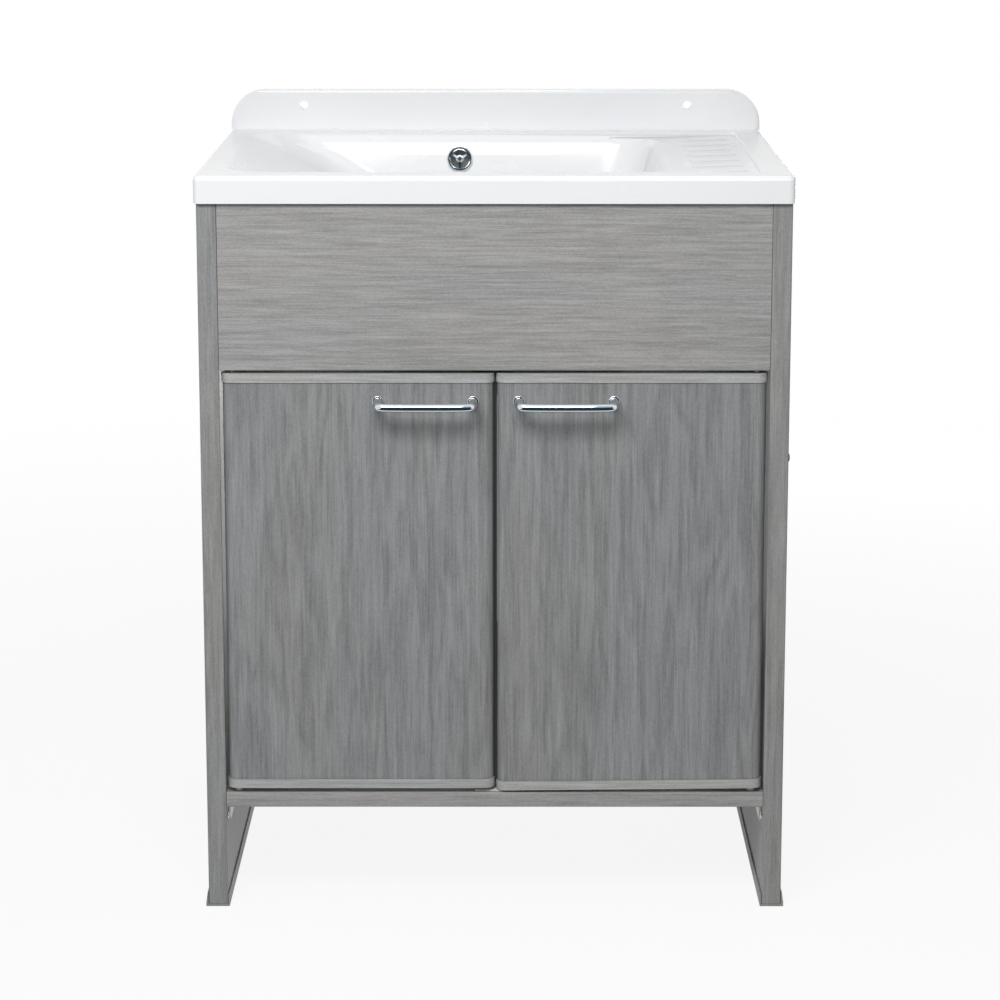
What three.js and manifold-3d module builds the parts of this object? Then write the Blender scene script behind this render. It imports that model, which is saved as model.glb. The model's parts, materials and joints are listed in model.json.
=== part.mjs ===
// A utility laundry sink: a moulded white basin with a splashback and a ribbed drainboard, on a
// two-door cabinet of hollow extruded boards. Behind the doors are the overflow, the waste and a
// bottle trap. Millimetres, +Z up, origin on the floor under the middle, front towards -Y.

import * as THREE from 'three';
import { mergeVertices } from 'three/addons/utils/BufferGeometryUtils.js';
import Module from 'manifold-3d';

const wasm = await Module();
wasm.setup();

// ---------------------------------------------------------------- driving dimensions

const FIT = 0.3; // gap between pieces that touch

// Basin: outer rim, deck and splashback
const BASIN_WIDTH = 600;
const BASIN_DEPTH = 500;
const DECK_Z = 762;
const DECK_THICKNESS = 3.5;
const RIM_HEIGHT = 28;
const RIM_EDGE_RADIUS = 5;
const RIM_CORNER_RADIUS = 7;
const RIM_INNER_CORNER = 4.5;
const SKIRT_THICKNESS = 2.2;
const SPLASH_HEIGHT = 44;
const SPLASH_THICKNESS = 14;
const SPLASH_CORNER_RADIUS = 38;
const SPLASH_WALL = 3.5;
const WALL_HOLE_SPACING = 435;
const WALL_HOLE_HEIGHT = 26.5; // above the deck
const WALL_HOLE_RADIUS = 5;

// Basin: bowl. The sides are where the walls would meet the deck without their rounded lips.
const BOWL = { left: -272, right: 182, front: -209, back: 194, corner: 50 };
const BOWL_LIPS = { left: 3, right: 3, front: 6, back: 11 };
const BOWL_WALL = 4;
const BOWL_WALL_DEPTH = 150; // where the walls end and the foot fillet starts
const BOWL_FOOT_RADIUS = 38;

// Basin: drainboard, in a shallow recess to the right of the bowl
const BOARD = { right: 268, lip: 3, corner: 9, depthRight: 3.5, depthLeft: 6, roll: 9 };
const BOARD_RIBS = { count: 7, first: -168, pitch: 53.5, left: 203, right: 258, width: 22, height: 1.6 };

// Waste and overflow
const DRAIN = { x: -40, y: 0, seatDepth: 194, seatRadius: 37, holeRadius: 24.6 };
const OVERFLOW = { x: -40, depth: 29, ringRadius: 15, holeRadius: 11, seatRadius: 18 };
const WASTE_SPIGOT_Z = -23; // below the seat
const OVERFLOW_SPIGOT_W = -22; // behind the inner face of the bowl wall
const SPIGOT_RADIUS = 6;
const SPIGOT_BORE = 4.6;
const HOSE = { bore: 7, valley: 9, crest: 11, pitch: 5.6, sides: 8, cuff: 15 };
const TRAP_OUTLET_Z = 448;
const PIPE_RADIUS = 16;
const PIPE_BORE = 14.3;

// Cabinet
const CABINET_HALF_WIDTH = 297.5;
const CABINET_FRONT = -245;
const CABINET_BACK = 243;
const CABINET_TOP = 756;
const BOARD_THICKNESS = 20;
const BOARD_SKIN = 1.8;
const BOARD_EDGE_RADIUS = 1.5;
const FOOT_WEB = 2.5;
const FOOT_HEIGHT = 16;
const FOOT_FLARE = 2.5;
const FASCIA_BOTTOM = 565;
const SHELF_TOP = 123.5;
const SHELF_THICKNESS = 16;
const RAIL_THICKNESS = 16;
const TOP_RAIL_HEIGHT = 80;
const BOTTOM_RAIL_HEIGHT = 60;
const ANGLE_SIZE = 20;
const ANGLE_THICKNESS = 2;

// Doors
const DOOR_THICKNESS = 20;
const DOOR_EDGE_RADIUS = 9.9;
const DOOR_TOP = 562.2;
const DOOR_BOTTOM = 128.4;
const DOOR_OUTER_EDGE = 274.6; // from the cabinet's middle
const DOOR_INNER_EDGES = { left: -1.3, right: 2.6 }; // the pair meets a little to the right of the middle
const CAP_HEIGHT = 9.4;
const CAP_WALL = 0.9;
const LOOSE_CAP_TILT = 0.55; // degrees: the right door's lower cap isn't pushed fully home
const PIVOT_RADIUS = 2.5;
const BUSH_RADIUS = 4.2;
const BUSH_DEPTH = 10;
const BUSH_FLOOR = 2;
const HANDLE_CENTRES = { left: -69.8, right: 72.5 };
const HANDLE = { spacing: 96, z: 534, reach: 31, drop: 1.5, radius: 4, swell: 0.7, collar: 6.2 };

// Places that follow from the dimensions above
const FRONT = -BASIN_DEPTH / 2;
const BACK = BASIN_DEPTH / 2;
const SEAT_Z = DECK_Z - DRAIN.seatDepth;
const INNER_X = CABINET_HALF_WIDTH - BOARD_THICKNESS;
const INSIDE = INNER_X - FIT;
const REAR_FACE = CABINET_BACK - RAIL_THICKNESS;
const DOOR_Y = CABINET_FRONT + DOOR_THICKNESS / 2;
const DOOR_BACK = CABINET_FRONT + DOOR_THICKNESS;
const SHELF_BOTTOM = SHELF_TOP - SHELF_THICKNESS;

// ---------------------------------------------------------------- finishes

const FINISHES = {
  whiteResin: { color: 0xf0f1f3, roughness: 0.22, metalness: 0 },
  greyBoard: { color: 0x8e8d89, roughness: 0.55, metalness: 0 },
  greyDoor: { color: 0x828487, roughness: 0.55, metalness: 0 },
  greyPlastic: { color: 0x8a8a88, roughness: 0.5, metalness: 0 },
  chrome: { color: 0xd9dee2, roughness: 0.1, metalness: 1 },
  steel: { color: 0xb4b6b8, roughness: 0.35, metalness: 1 },
  whitePlastic: { color: 0xe6e6e2, roughness: 0.4, metalness: 0 },
  blackRubber: { color: 0x1c1c1d, roughness: 0.75, metalness: 0 },
};

// ---------------------------------------------------------------- solids and profiles

const X = new THREE.Vector3(1, 0, 0);
const Y = new THREE.Vector3(0, 1, 0);
const Z = new THREE.Vector3(0, 0, 1);
const DEGREE = Math.PI / 180;

// A closed geometry as a solid that can be joined and cut.
function solid(geometry) {
  const bare = new THREE.BufferGeometry();
  bare.setAttribute('position', geometry.attributes.position.clone());
  if (geometry.index) bare.setIndex(geometry.index.clone());
  const welded = mergeVertices(bare, 1e-4);
  const corners = welded.index.array;
  const kept = [];
  for (let i = 0; i < corners.length; i += 3) {
    const [a, b, c] = [corners[i], corners[i + 1], corners[i + 2]];
    if (a !== b && b !== c && c !== a) kept.push(a, b, c);
  }
  const vertProperties = new Float32Array(welded.attributes.position.array);
  return new wasm.Manifold(new wasm.Mesh({ numProp: 3, vertProperties, triVerts: new Uint32Array(kept) }));
}

function geometryOf(body) {
  const mesh = body.getMesh();
  const geometry = new THREE.BufferGeometry();
  geometry.setAttribute('position', new THREE.BufferAttribute(mesh.vertProperties, 3));
  geometry.setIndex(new THREE.BufferAttribute(mesh.triVerts, 1));
  geometry.computeVertexNormals();
  return geometry;
}

function joined(...geometries) {
  return geometries.map(solid).reduce((whole, next) => whole.add(next));
}

function box(x0, x1, y0, y1, z0, z1) {
  const geometry = new THREE.BoxGeometry(x1 - x0, y1 - y0, z1 - z0);
  return geometry.translate((x0 + x1) / 2, (y0 + y1) / 2, (z0 + z1) / 2);
}

// Extrusions: the outline is drawn in XY, YZ or XZ and runs along the axis that is left.
function alongZ(shape, z0, z1, curveSegments = 8) {
  const geometry = new THREE.ExtrudeGeometry(shape, { depth: z1 - z0, bevelEnabled: false, curveSegments });
  return geometry.translate(0, 0, z0);
}

function alongX(shape, x0, x1, curveSegments = 8) {
  return alongZ(shape, x0, x1, curveSegments).applyMatrix4(new THREE.Matrix4().makeBasis(Y, Z, X));
}

function alongY(shape, y0, y1, curveSegments = 8) {
  const backwards = new THREE.Matrix4().makeBasis(X, Z, Y.clone().negate());
  return alongZ(shape, -y1, -y0, curveSegments).applyMatrix4(backwards);
}

function outline(points) {
  return new THREE.Shape(points.map(([u, v]) => new THREE.Vector2(u, v)));
}

function roundedRectangle(u0, u1, v0, v1, r) {
  const shape = new THREE.Shape();
  shape.moveTo(u0 + r, v0);
  shape.lineTo(u1 - r, v0);
  shape.absarc(u1 - r, v0 + r, r, -Math.PI / 2, 0);
  shape.lineTo(u1, v1 - r);
  shape.absarc(u1 - r, v1 - r, r, 0, Math.PI / 2);
  shape.lineTo(u0 + r, v1);
  shape.absarc(u0 + r, v1 - r, r, Math.PI / 2, Math.PI);
  shape.lineTo(u0, v0 + r);
  shape.absarc(u0 + r, v0 + r, r, Math.PI, Math.PI * 1.5);
  return shape;
}

// A profile of [radius, height] points turned about Z.
function turned(profile, segments = 20) {
  const area = profile.reduce((sum, [r, h], i) => {
    const [nextR, nextH] = profile[(i + 1) % profile.length];
    return sum + r * nextH - nextR * h;
  }, 0);
  const points = (area > 0 ? profile : [...profile].reverse()).map(([r, h]) => new THREE.Vector2(r, h));
  points.push(points[0].clone());
  return new THREE.LatheGeometry(points, segments).rotateX(Math.PI / 2);
}

// The same profile turned about an axis that points along +Y.
function turnedAlongY(profile, segments = 20) {
  return turned(profile, segments).rotateX(-Math.PI / 2);
}

function rod(x, y, z0, z1, radius, sides = 12) {
  return turned([[0, z0], [radius, z0], [radius, z1], [0, z1]], sides).translate(x, y, 0);
}

function rodAlongX(y, z, x0, x1, radius, sides = 12) {
  const [low, high] = [Math.min(x0, x1), Math.max(x0, x1)];
  return turned([[0, low], [radius, low], [radius, high], [0, high]], sides)
    .rotateY(Math.PI / 2)
    .translate(0, y, z);
}

function rodAlongY(x, z, y0, y1, radius, sides = 12) {
  return turnedAlongY([[0, y0], [radius, y0], [radius, y1], [0, y1]], sides).translate(x, 0, z);
}

// One level of a lofted form: a rounded rectangle, anticlockwise from above.
function ring(z, left, right, front, back, radius, perCorner = 5) {
  const points = [];
  const corners = [
    [right - radius, back - radius, 0],
    [left + radius, back - radius, 90],
    [left + radius, front + radius, 180],
    [right - radius, front + radius, 270],
  ];
  for (const [x, y, start] of corners) {
    for (let i = 0; i <= perCorner; i++) {
      const angle = (start + (90 * i) / perCorner) * DEGREE;
      points.push([x + radius * Math.cos(angle), y + radius * Math.sin(angle), z]);
    }
  }
  return points;
}

// Rings of equal counts, lowest first, joined into one closed form.
function lofted(rings) {
  const count = rings[0].length;
  const faces = [];
  for (let level = 0; level + 1 < rings.length; level++) {
    for (let i = 0; i < count; i++) {
      const a = level * count + i;
      const b = level * count + ((i + 1) % count);
      faces.push(a, b, b + count, a, b + count, a + count);
    }
  }
  const top = (rings.length - 1) * count;
  for (let i = 1; i + 1 < count; i++) faces.push(0, i + 1, i, top, top + i, top + i + 1);
  const geometry = new THREE.BufferGeometry();
  geometry.setAttribute('position', new THREE.Float32BufferAttribute(rings.flat(2), 3));
  return geometry.setIndex(faces);
}

// Round sections along a curve. Stations are [share of the length, radius], and inner
// stations, where given, are the bore.
function swept(curve, stations, sides, boreStations = []) {
  const steps = 400;
  const frames = curve.computeFrenetFrames(steps, false);
  const circles = [...stations, ...[...boreStations].reverse()].map(([share, radius]) => {
    const centre = curve.getPointAt(share);
    const at = Math.round(share * steps);
    return Array.from({ length: sides }, (_, i) => {
      const angle = (2 * Math.PI * i) / sides;
      return centre.clone()
        .addScaledVector(frames.normals[at], radius * Math.cos(angle))
        .addScaledVector(frames.binormals[at], radius * Math.sin(angle))
        .toArray();
    });
  });
  const faces = [];
  const closed = boreStations.length > 0;
  const bands = closed ? circles.length : circles.length - 1;
  for (let level = 0; level < bands; level++) {
    const next = (level + 1) % circles.length;
    for (let i = 0; i < sides; i++) {
      const j = (i + 1) % sides;
      const [a, b, c, d] = [level * sides + i, level * sides + j, next * sides + j, next * sides + i];
      faces.push(a, b, c, a, c, d);
    }
  }
  const last = (circles.length - 1) * sides;
  for (let i = 1; i + 1 < sides && !closed; i++) faces.push(0, i + 1, i, last, last + i, last + i + 1);
  const geometry = new THREE.BufferGeometry();
  geometry.setAttribute('position', new THREE.Float32BufferAttribute(circles.flat(2), 3));
  return geometry.setIndex(faces);
}

// ---------------------------------------------------------------- scene graph

const sink = new THREE.Group();

function add(parent, name, body, finish) {
  const geometry = geometryOf(body instanceof THREE.BufferGeometry ? solid(body) : body);
  const mesh = new THREE.Mesh(geometry, new THREE.MeshStandardMaterial(FINISHES[finish]));
  mesh.name = name;
  parent.add(mesh);
  return mesh;
}

function group(parent, x = 0, y = 0, z = 0) {
  const part = new THREE.Group();
  part.position.set(x, y, z);
  parent.add(part);
  return part;
}

// ---------------------------------------------------------------- basin

// How far each wall has come in at a depth below the deck. The left wall starts as a gentle
// slope and steepens; the others have a little draft.
function wallInset(depth) {
  const eased = (reach, fade) => reach * (1 - Math.exp(-depth / fade));
  return {
    left: 0.05 * depth + 130 * Math.tanh(depth / 54),
    right: 0.13 * depth + eased(14, 22),
    front: 0.14 * depth + eased(6, 12),
    back: 0.14 * depth + eased(6, 12),
  };
}

// How far a rounded lip has opened out at a depth.
function lipFlare(radius, depth) {
  const rest = Math.max(0, radius - Math.max(0, depth));
  return radius - Math.sqrt(radius * radius - rest * rest);
}

// A level of the bowl's inside. Grown by a wall thickness it is the outside, which also hangs
// lower, so that the wall keeps its thickness under the gentle left slope.
function bowlRing(depth, { grow = 0, inward = 0, wallDepth = depth, roll = 0 } = {}) {
  const inset = wallInset(Math.max(0, wallDepth - 0.75 * grow));
  const side = (name) => inset[name] + inward - grow - lipFlare(BOWL_LIPS[name], depth - grow);
  return ring(
    DECK_Z - depth,
    BOWL.left + side('left'),
    BOWL.right - side('right') + roll,
    BOWL.front + side('front'),
    BOWL.back - side('back'),
    Math.max(BOWL.corner - inward * 0.4 + grow, 12),
  );
}

function bowlFootRings(grow) {
  const radius = BOWL_FOOT_RADIUS + grow;
  return [22.5, 45, 67.5, 90].map((angle) => {
    const depth = BOWL_WALL_DEPTH + radius * Math.sin(angle * DEGREE);
    const inward = BOWL_FOOT_RADIUS - radius * Math.cos(angle * DEGREE) + grow;
    return bowlRing(depth, { grow, inward, wallDepth: BOWL_WALL_DEPTH });
  });
}

const LIP_STATIONS = [0, 0.6, 2, 4.5];
const WALL_STATIONS = [11, 24, 42, 62, 86, 116, BOWL_WALL_DEPTH];
const ABOVE = 6; // how far a cutting form stands above the deck

function drainRing(depth, radius) {
  return ring(DECK_Z - depth, DRAIN.x - radius, DRAIN.x + radius, DRAIN.y - radius, DRAIN.y + radius, radius);
}

const raised = (level) => level.map(([x, y, z]) => [x, y, z + ABOVE]);

function bowlInside() {
  const walls = [...LIP_STATIONS, ...WALL_STATIONS].map((depth) => bowlRing(depth));
  const seat = [
    drainRing(DRAIN.seatDepth - 3, DRAIN.seatRadius),
    drainRing(DRAIN.seatDepth, DRAIN.seatRadius - 0.5),
  ];
  return lofted([raised(walls[0]), ...walls, ...bowlFootRings(0), ...seat].reverse());
}

function bowlOutside() {
  const walls = [DECK_THICKNESS / 2, 4.6, 8.5, 15, ...WALL_STATIONS.slice(1)].map((depth) => (
    bowlRing(depth, { grow: BOWL_WALL })
  ));
  const seat = drainRing(DRAIN.seatDepth + 5, DRAIN.seatRadius + BOWL_WALL);
  return lofted([...walls, ...bowlFootRings(BOWL_WALL), seat].reverse());
}

// A level of the recess that holds the drainboard. Its front and back are the bowl's own.
function boardRing(depth, grow = 0) {
  const bowl = bowlRing(depth, { grow });
  const ys = bowl.map(([, y]) => y);
  const right = BOARD.right + grow + lipFlare(BOARD.lip, depth - grow);
  return ring(DECK_Z - depth, BOWL.right - 70, right, Math.min(...ys), Math.max(...ys), BOARD.corner + grow);
}

// The bowl's right wall rolls over into the drainboard, level by level.
function rollRings(grow) {
  const radius = BOARD.roll - grow;
  return [0, 30, 60, 90].map((angle) => bowlRing(
    BOARD.depthLeft + BOARD.roll - radius * Math.cos(angle * DEGREE),
    { grow, roll: BOARD.roll - grow - radius * Math.sin(angle * DEGREE) },
  ));
}

// Everything above the drainboard's floor, or above its underside once dropped.
function aboveFloor(drop) {
  const right = BOARD.right + 12;
  const section = outline([
    [BOWL.right - 90, DECK_Z + ABOVE + 1],
    [BOWL.right - 90, DECK_Z - BOARD.depthLeft - drop],
    [BOWL.right + BOARD.roll, DECK_Z - BOARD.depthLeft - drop],
    [BOARD.right, DECK_Z - BOARD.depthRight - drop],
    [right, DECK_Z - BOARD.depthRight - drop],
    [right, DECK_Z + ABOVE + 1],
  ]);
  return solid(alongY(section, FRONT, BACK));
}

function drainboardInside() {
  const levels = [0, 0.6, 2, 4.5, 8].map((depth) => boardRing(depth));
  const recess = solid(lofted([raised(levels[0]), ...levels].reverse())).intersect(aboveFloor(0));
  const roll = rollRings(0);
  return recess.subtract(drainboardRibs()).add(solid(lofted([raised(roll[0]), ...roll].reverse())));
}

function drainboardOutside() {
  const grow = DECK_THICKNESS;
  const levels = [DECK_THICKNESS / 2, 6, 12].map((depth) => boardRing(depth, grow));
  const slab = solid(lofted(levels.reverse())).intersect(aboveFloor(grow));
  return slab.add(solid(lofted(rollRings(grow).reverse())));
}

// Low ribs from left to right across the drainboard, with ends that fade into its floor.
function drainboardRibs() {
  const { count, first, pitch, left, right, width, height } = BOARD_RIBS;
  const radius = width / 2;
  const fall = Math.atan2(BOARD.depthLeft - BOARD.depthRight, BOARD.right - BOWL.right - BOARD.roll);
  const middle = (left + right) / 2;
  const floor = DECK_Z - BOARD.depthRight - (BOARD.right - middle) * Math.tan(fall);
  return joined(...Array.from({ length: count }, (_, i) => (
    new THREE.CapsuleGeometry(radius, right - left - width, 3, 8)
      .rotateZ(Math.PI / 2)
      .scale(1, 1, (2 * height) / width)
      .rotateY(-fall)
      .translate(middle, first + i * pitch, floor)
  )));
}

function rimOutside() {
  const edge = [0, 30, 60, 90].map((angle) => {
    const inset = RIM_EDGE_RADIUS * (1 - Math.cos(angle * DEGREE));
    return [DECK_Z - RIM_EDGE_RADIUS * (1 - Math.sin(angle * DEGREE)), inset];
  });
  const levels = [[DECK_Z - RIM_HEIGHT, 0], ...edge];
  const half = BASIN_WIDTH / 2;
  return lofted(levels.map(([z, inset]) => (
    ring(z, -half + inset, half - inset, FRONT + inset, BACK - inset, RIM_CORNER_RADIUS - inset, 4)
  )));
}

function rimInside() {
  const under = DECK_Z - DECK_THICKNESS;
  const levels = [[DECK_Z - RIM_HEIGHT - 1, 0], [under - 3, 0], [under - 0.9, 0.9], [under, 3]];
  return lofted(levels.map(([z, inset]) => {
    const wall = SKIRT_THICKNESS + inset;
    const half = BASIN_WIDTH / 2 - wall;
    return ring(z, -half, half, FRONT + wall, BACK - wall, RIM_INNER_CORNER, 4);
  }));
}

// The splashback's outline in XZ, shrunk by an inset.
function splashOutline(inset, bottom) {
  const half = BASIN_WIDTH / 2 - inset;
  const top = DECK_Z + SPLASH_HEIGHT - inset;
  const r = SPLASH_CORNER_RADIUS - inset;
  const shape = new THREE.Shape();
  shape.moveTo(-half, bottom);
  shape.lineTo(half, bottom);
  shape.absarc(half - r, top - r, r, 0, Math.PI / 2);
  shape.absarc(-half + r, top - r, r, Math.PI / 2, Math.PI);
  return shape;
}

// Two extrusions of the outline give the splashback's front edge its chamfered round.
function splashback() {
  const front = BACK - SPLASH_THICKNESS;
  const foot = DECK_Z - DECK_THICKNESS / 2;
  const plate = joined(
    alongY(splashOutline(0, foot), front + 3, BACK, 10),
    alongY(splashOutline(0.9, foot), front + 0.9, front + 4, 10),
    alongY(splashOutline(3, foot), front, front + 4, 10),
  );
  const inside = splashOutline(SPLASH_WALL, DECK_Z + SPLASH_WALL);
  const hollow = solid(alongY(inside, front + SPLASH_WALL, BACK + 1, 10));
  const ribs = [-145, -72, 0, 72, 145].map((x) => (
    box(x - 1.25, x + 1.25, front + 1, BACK - 2, DECK_Z, DECK_Z + SPLASH_HEIGHT - 1)
  ));
  const z = DECK_Z + WALL_HOLE_HEIGHT;
  const sides = [-WALL_HOLE_SPACING / 2, WALL_HOLE_SPACING / 2];
  const bosses = sides.map((x) => rodAlongY(x, z, front + 1, BACK, WALL_HOLE_RADIUS + 5, 20));
  const holes = sides.map((x) => rodAlongY(x, z, front - 1, BACK + 1, WALL_HOLE_RADIUS, 20));
  return { shell: plate.subtract(hollow).add(joined(...ribs, ...bosses)), holes: joined(...holes) };
}

// Short webs under the deck that rest on the side panels, the fascia and the rear rail.
function bearers() {
  const [foot, head] = [CABINET_TOP + FIT, DECK_Z - DECK_THICKNESS / 2];
  const overSides = [-180, -90, 0, 90, 180].flatMap((y) => [-1, 1].map((sign) => {
    const [x0, x1] = [sign * (INNER_X + 1), sign * (CABINET_HALF_WIDTH - 1.5)].sort((a, b) => a - b);
    return box(x0, x1, y - 1.5, y + 1.5, foot, head);
  }));
  const overEnds = [-200, -100, 0, 100, 200].flatMap((x) => [
    box(x - 1.5, x + 1.5, CABINET_FRONT + 1.5, DOOR_BACK - 1, foot, head),
    box(x - 1.5, x + 1.5, REAR_FACE + 1, CABINET_BACK - 1, foot, head),
  ]);
  return [...overSides, ...overEnds];
}

// Webs that stiffen the undersides of the rear ledge and of the drainboard.
function stiffeners() {
  const ledge = outline([[196, DECK_Z - 2], [225, DECK_Z - 2], [225, DECK_Z - 12], [197, DECK_Z - 34]]);
  const side = outline([[186, DECK_Z - 7], [272, DECK_Z - 2], [272, DECK_Z - 14], [178, DECK_Z - 32]]);
  return joined(
    ...[-215, -130, 50, 130].map((x) => alongX(ledge, x - 1.5, x + 1.5)),
    ...[-130, -50, 30, 110].map((y) => alongY(side, y - 1.5, y + 1.5)),
    ...bearers(),
  );
}

// The overflow stands square to the bowl's back wall, which leans between two wall stations.
const [upperDepth, lowerDepth] = [WALL_STATIONS[1], WALL_STATIONS[2]];
const upper = wallInset(upperDepth).back;
const lower = wallInset(lowerDepth).back;
const wallRise = lowerDepth - upperDepth;
const wallTilt = Math.atan2(lower - upper, wallRise);
const overflowY = BOWL.back - upper - ((lower - upper) * (OVERFLOW.depth - upperDepth)) / wallRise;
const overflowFrame = new THREE.Matrix4()
  .makeRotationX(Math.PI / 2 - wallTilt)
  .setPosition(OVERFLOW.x, overflowY, DECK_Z - OVERFLOW.depth);

function basin() {
  const splash = splashback();
  const overflowHole = rod(0, 0, -12, 8, OVERFLOW.holeRadius, 24).applyMatrix4(overflowFrame);
  const overflowSeat = rod(0, 0, -14, -BOWL_WALL, OVERFLOW.seatRadius, 24).applyMatrix4(overflowFrame);
  const drainHole = rod(DRAIN.x, DRAIN.y, SEAT_Z - 12, SEAT_Z + 2, DRAIN.holeRadius, 24);
  return solid(rimOutside())
    .subtract(solid(rimInside()))
    .add(solid(bowlOutside()))
    .add(drainboardOutside())
    .add(stiffeners())
    .add(splash.shell)
    .subtract(solid(bowlInside()))
    .subtract(drainboardInside())
    .subtract(splash.holes)
    .subtract(joined(overflowHole, overflowSeat, drainHole));
}

add(sink, 'basin', basin(), 'whiteResin');

// ---------------------------------------------------------------- overflow

// Local Z points into the bowl and local Y points up the wall.
const overflow = group(sink);
overflow.applyMatrix4(overflowFrame);

function overflowGrille() {
  const outer = OVERFLOW.ringRadius;
  const rim = turned([
    [10.4, FIT], [outer, FIT], [outer - 0.3, 2.2], [13.3, 3.5], [11.6, 3.5], [10.4, 2.2],
  ]);
  const hub = turned([[0, 0.8], [4.6, 0.8], [4.4, 2.4], [3.2, 3.2], [0, 3.2]]);
  const spokes = [-90, 30, 150].map((angle) => (
    box(2, 11.4, -1.25, 1.25, 0.8, 2.6).rotateZ(angle * DEGREE)
  ));
  return joined(rim, hub, ...spokes).subtract(solid(rod(0, 0, -1, 4, 2.3, 12)));
}

function screw(headRadius, headHeight, shaftRadius, shaftLength, sides = 12) {
  const shoulder = headHeight * 0.55;
  return turned([
    [0, -shaftLength],
    [shaftRadius, -shaftLength],
    [shaftRadius, 0],
    [headRadius, 0],
    [headRadius, shoulder],
    [headRadius * 0.6, headHeight],
    [0, headHeight],
  ], sides);
}

function overflowScrew() {
  const slot = box(-4, 4, -0.45, 0.45, 0.9, 3);
  return solid(screw(3.5, 1.9, 1.9, 18))
    .subtract(joined(slot, slot.clone().rotateZ(Math.PI / 2)));
}

function overflowBody() {
  const floor = -34;
  const cup = turned([
    [12, -6.6], [17, -6.6], [17, -9], [14, -9], [14, floor], [0, floor], [0, floor + 2], [12, floor + 2],
  ], 18);
  const post = rod(0, 0, floor + 1, -12, 4, 12);
  const spigot = rodAlongY(0, OVERFLOW_SPIGOT_W, -28, -13, SPIGOT_RADIUS);
  const bore = rodAlongY(0, OVERFLOW_SPIGOT_W, -29, -6, SPIGOT_BORE);
  const thread = rod(0, 0, floor + 4, -11, 2.3, 12);
  return joined(cup, post, spigot).subtract(joined(bore, thread));
}

add(overflow, 'overflow_grille', overflowGrille(), 'chrome');
add(overflow, 'overflow_screw', overflowScrew(), 'chrome').position.z = 3.2 + FIT;
const overflowGasket = turned([[11.5, -4.3], [16.5, -4.3], [16.5, -6.3], [11.5, -6.3]]);
add(overflow, 'overflow_gasket', overflowGasket, 'blackRubber');
add(overflow, 'overflow_body', overflowBody(), 'whitePlastic');

// The corrugated hose hangs from the overflow and turns under the bowl to the waste.
function overflowHose() {
  const start = new THREE.Vector3(0, -15, OVERFLOW_SPIGOT_W).applyMatrix4(overflowFrame);
  const down = new THREE.Vector3(0, -1, 0).transformDirection(overflowFrame);
  const end = new THREE.Vector3(DRAIN.x, DRAIN.y + 30.5, SEAT_Z + WASTE_SPIGOT_Z);
  const bendZ = end.z + 56;
  const route = new THREE.CurvePath();
  const entry = start.clone().addScaledVector(down, HOSE.cuff);
  const elbow = new THREE.Vector3(DRAIN.x, entry.y - 3, bendZ);
  const exit = end.clone().add(new THREE.Vector3(0, HOSE.cuff + 6, 0));
  const drop = entry.clone().addScaledVector(down, 34);
  route.add(new THREE.LineCurve3(start, entry));
  route.add(new THREE.CubicBezierCurve3(entry, drop, new THREE.Vector3(DRAIN.x, elbow.y, bendZ + 30), elbow));
  route.add(new THREE.CubicBezierCurve3(
    elbow,
    new THREE.Vector3(DRAIN.x, elbow.y, bendZ - 44),
    new THREE.Vector3(DRAIN.x, exit.y + 48, exit.z),
    exit,
  ));
  route.add(new THREE.LineCurve3(exit, end));
  // One smooth curve through the same places, so that the sections turn evenly.
  const curve = new THREE.CatmullRomCurve3(route.getSpacedPoints(24));
  const length = curve.getLength();
  const ribs = Math.floor((length - 2 * HOSE.cuff) / HOSE.pitch);
  const first = HOSE.cuff / length;
  const step = (1 - 2 * first) / ribs;
  const walls = [[0, HOSE.valley], [first * 0.8, HOSE.valley]];
  const bore = [[0, HOSE.bore]];
  for (let i = 0; i < ribs; i++) {
    const share = first + i * step;
    walls.push([share + step * 0.1, HOSE.valley], [share + step * 0.6, HOSE.crest]);
    if (i % 5 === 0) bore.push([share + step * 0.1, HOSE.bore]);
  }
  walls.push([1 - first * 0.8, HOSE.valley], [1, HOSE.valley]);
  bore.push([1 - first, HOSE.bore], [1, HOSE.bore]);
  return swept(curve, walls, HOSE.sides, bore);
}

add(sink, 'overflow_hose', overflowHose(), 'greyPlastic');

// ---------------------------------------------------------------- waste

// Heights are measured from the seat in the bowl's floor.
const waste = group(sink, DRAIN.x, DRAIN.y, SEAT_Z);

function wasteStrainer() {
  const dish = turned([
    [22.2, 2.6], [33.5, 2.6], [35.5, 1.2], [35.5, FIT], [24.2, FIT], [24.2, -14], [0, -14], [0, -12],
    [20.9, -12], [20.9, -8],
  ]);
  const holes = Array.from({ length: 8 }, (_, i) => rod(14, 0, -15, -11, 3.4, 8).rotateZ((i * Math.PI) / 4));
  return solid(dish).subtract(joined(rod(0, 0, -15, -11, 3.1, 12), ...holes));
}

function wasteBody() {
  const shell = turned([
    [26.5, -8.1], [37, -8.1], [37, -11], [29, -11], [29, -34], [21, -40], [21, -62], [18, -62], [18, -38],
    [26.5, -32],
  ], 18);
  const bridge = box(-2.5, 2.5, -19.5, 19.5, -42, -37);
  const boss = rod(0, 0, -42, -28, 5.5, 16);
  const spigot = rodAlongY(0, WASTE_SPIGOT_Z, 27, 44, SPIGOT_RADIUS);
  const bore = rodAlongY(0, WASTE_SPIGOT_Z, 20, 45, SPIGOT_BORE);
  return joined(shell, bridge, boss, spigot).subtract(joined(bore, rod(0, 0, -43, -27, 2.9, 12)));
}

function wasteScrew() {
  const slot = box(-6, 6, -0.6, 0.6, 1.4, 4);
  return solid(screw(5.5, 2.4, 2.6, 26)).subtract(solid(slot));
}

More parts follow.
